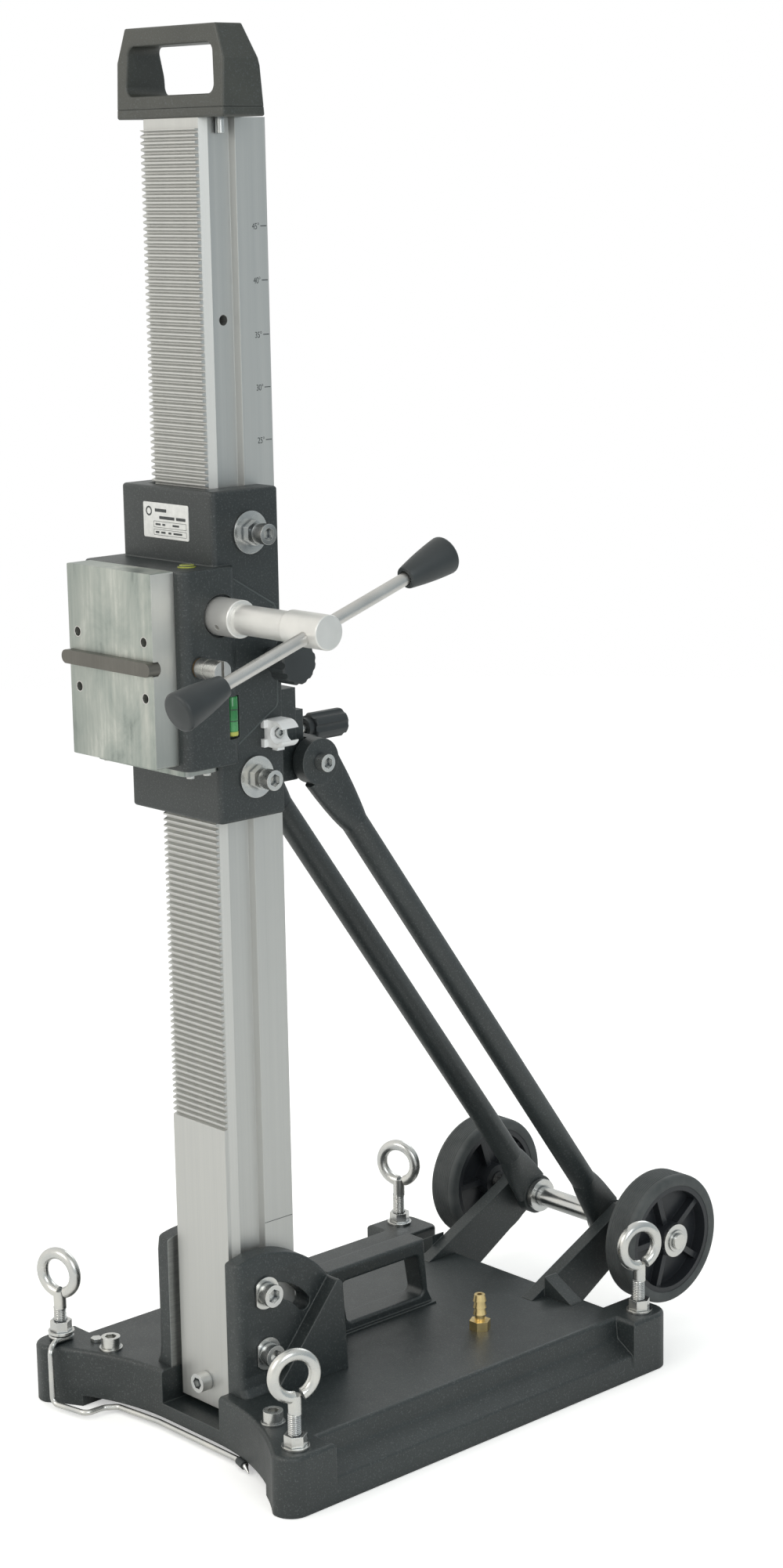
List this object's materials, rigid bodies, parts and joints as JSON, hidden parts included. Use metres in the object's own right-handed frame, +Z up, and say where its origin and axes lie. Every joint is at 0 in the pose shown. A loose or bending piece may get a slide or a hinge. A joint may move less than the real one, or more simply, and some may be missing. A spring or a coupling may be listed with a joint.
{
  "type": "core drill rig",
  "caption": "Vacuum-base core drill stand: tilting rack column, crank-fed carriage with motor plate, bracing struts, levelling eyebolts and transport wheels",
  "frame": {"origin": "on the ground, in the middle of the four levelling screws", "axes": "+X right seen from the rack side, +Y towards the wheels, +Z up"},
  "size_m": [0.4063, 0.7113, 1.2595],
  "materials": {
    "casting": "aluminium casting with a black fine-texture powder coat",
    "extrusion": "brushed clear-anodised extrusion",
    "bare_aluminium": "machined bare aluminium",
    "zinc_steel": "zinc-plated steel",
    "plain_steel": "turned steel, satin",
    "dark_steel": "oiled dark steel",
    "bronze": "sintered bronze",
    "brass": "turned brass",
    "bearing_plastic": "acetal",
    "knob_plastic": "dark moulded plastic",
    "rim_plastic": "black moulded plastic",
    "white_plastic": "white moulded plastic",
    "tyre": "grooved grey-black rubber",
    "seal_rubber": "soft black rubber",
    "vial_green": "clear green level vial",
    "vial_yellow": "clear yellow level vial"
  },
  "bodies": {
    "base": {"base_casting": "casting", "column_cheeks": "casting", "carry_handle": "casting", "wheel_arms": "casting", "vacuum_seal": "seal_rubber", "vacuum_nipple": "brass", "base_screws": "zinc_steel", "base_washers": "zinc_steel", "pivot_bolts": "zinc_steel", "pivot_washers": "zinc_steel", "wheel_axle": "zinc_steel", "axle_collars": "zinc_steel", "wheel_retainers": "zinc_steel", "locknuts": "zinc_steel"},
    "column": {"column": "extrusion", "foot_block": "plain_steel", "pivot_bush": "bronze", "foot_screw": "zinc_steel", "top_handle": "casting", "handle_screws": "zinc_steel", "lock_bolts": "zinc_steel", "lock_washers": "zinc_steel"},
    "carriage": {"carriage_housing": "casting", "gearbox_cover": "bare_aluminium", "carriage_screws": "zinc_steel", "glide_pads": "bearing_plastic", "guide_screws": "zinc_steel", "guide_nuts_and_washers": "zinc_steel", "motor_plate": "bare_aluminium", "cross_key": "dark_steel", "shaft_bushes": "bronze", "reduction_bush": "bronze", "top_vial": "vial_yellow", "side_vial": "vial_green", "hose_clip": "white_plastic"},
    "crank": {"pinion_shaft": "plain_steel", "drive_gear": "plain_steel", "crank_hub": "plain_steel", "crank_lever": "plain_steel", "crank_grips": "knob_plastic"},
    "reduction": {"reduction_shaft": "plain_steel"},
    "clamp": {"clamp_knob": "knob_plastic", "clamp_stud": "zinc_steel"},
    "slider": {"slider_block": "casting", "slider_key": "plain_steel", "slider_stud": "zinc_steel"},
    "slider_nut": {"slider_knob": "knob_plastic"},
    "struts": {"strut_left": "casting", "strut_right": "casting", "strut_bolts": "zinc_steel"},
    "wheel_left": {"tyre_left": "tyre", "rim_left": "rim_plastic"},
    "wheel_right": {"tyre_right": "tyre", "rim_right": "rim_plastic"},
    "level_front_left": {"eyebolt_front_left": "zinc_steel"},
    "level_front_right": {"eyebolt_front_right": "zinc_steel"},
    "level_rear_left": {"eyebolt_rear_left": "zinc_steel"},
    "level_rear_right": {"eyebolt_rear_right": "zinc_steel"},
    "pointer": {"pointer_wire": "zinc_steel", "pointer_sleeve": "knob_plastic"}
  },
  "joints": [
    {"name": "column_tilt", "type": "hinge", "parent": "base", "child": "column", "pos_m": [0, -0.158, 0.092], "axis": [-1, 0, 0], "range_deg": [0, 45]},
    {"name": "carriage_feed", "type": "slide", "parent": "column", "child": "carriage", "axis": [0, 0, 1], "range_m": [-0.385, 0.295]},
    {"name": "crank_turn", "type": "hinge", "parent": "carriage", "child": "crank", "pos_m": [0, -0.1934, 0.77081], "axis": [1, 0, 0], "range_deg": [-1074.16, 1401.56]},
    {"name": "reduction_turn", "type": "hinge", "parent": "carriage", "child": "reduction", "pos_m": [0.07, -0.2174, 0.72924], "axis": [1, 0, 0], "range_deg": [-4204.69, 3222.48]},
    {"name": "clamp_turn", "type": "hinge", "parent": "carriage", "child": "clamp", "pos_m": [0.09, -0.137, 0.727], "axis": [1, 0, 0], "range_deg": [-360, 360]},
    {"name": "slider_travel", "type": "slide", "parent": "column", "child": "slider", "axis": [0, 0, 1], "range_m": [-0.001, 0.3985]},
    {"name": "slider_nut_turn", "type": "hinge", "parent": "slider", "child": "slider_nut", "pos_m": [0, -0.02, 0.644], "axis": [0, 1, 0], "range_deg": [-720, 720]},
    {"name": "strut_swing", "type": "hinge", "parent": "base", "child": "struts", "pos_m": [0, 0.3004, 0.0986], "axis": [-1, 0, 0], "range_deg": [-0.2, 59.5]},
    {"name": "wheel_left_roll", "type": "hinge", "parent": "base", "child": "wheel_left", "pos_m": [-0.124, 0.3004, 0.0986], "axis": [1, 0, 0], "continuous": true},
    {"name": "wheel_right_roll", "type": "hinge", "parent": "base", "child": "wheel_right", "pos_m": [0.124, 0.3004, 0.0986], "axis": [1, 0, 0], "continuous": true},
    {"name": "pointer_swing", "type": "hinge", "parent": "base", "child": "pointer", "pos_m": [-0.1705, -0.219, 0.06], "axis": [0, 0, 1], "range_deg": [-51, 0]},
    {"name": "level_front_left_screw", "type": "slide", "parent": "base", "child": "level_front_left", "axis": [0, 0, 1], "range_m": [-0.02, 0.025]},
    {"name": "level_front_right_screw", "type": "slide", "parent": "base", "child": "level_front_right", "axis": [0, 0, 1], "range_m": [-0.02, 0.025]},
    {"name": "level_rear_left_screw", "type": "slide", "parent": "base", "child": "level_rear_left", "axis": [0, 0, 1], "range_m": [-0.02, 0.025]},
    {"name": "level_rear_right_screw", "type": "slide", "parent": "base", "child": "level_rear_right", "axis": [0, 0, 1], "range_m": [-0.02, 0.025]}
  ],
  "couplings": [
    {"joint": "crank_turn", "follows": "carriage_feed", "rad_per_m": -63.492},
    {"joint": "reduction_turn", "follows": "carriage_feed", "rad_per_m": 190.48},
    {"joint": "slider_travel", "follows": "column_tilt", "m_per_rad": 0.50637},
    {"joint": "strut_swing", "follows": "column_tilt", "ratio": 1.3111}
  ]
}
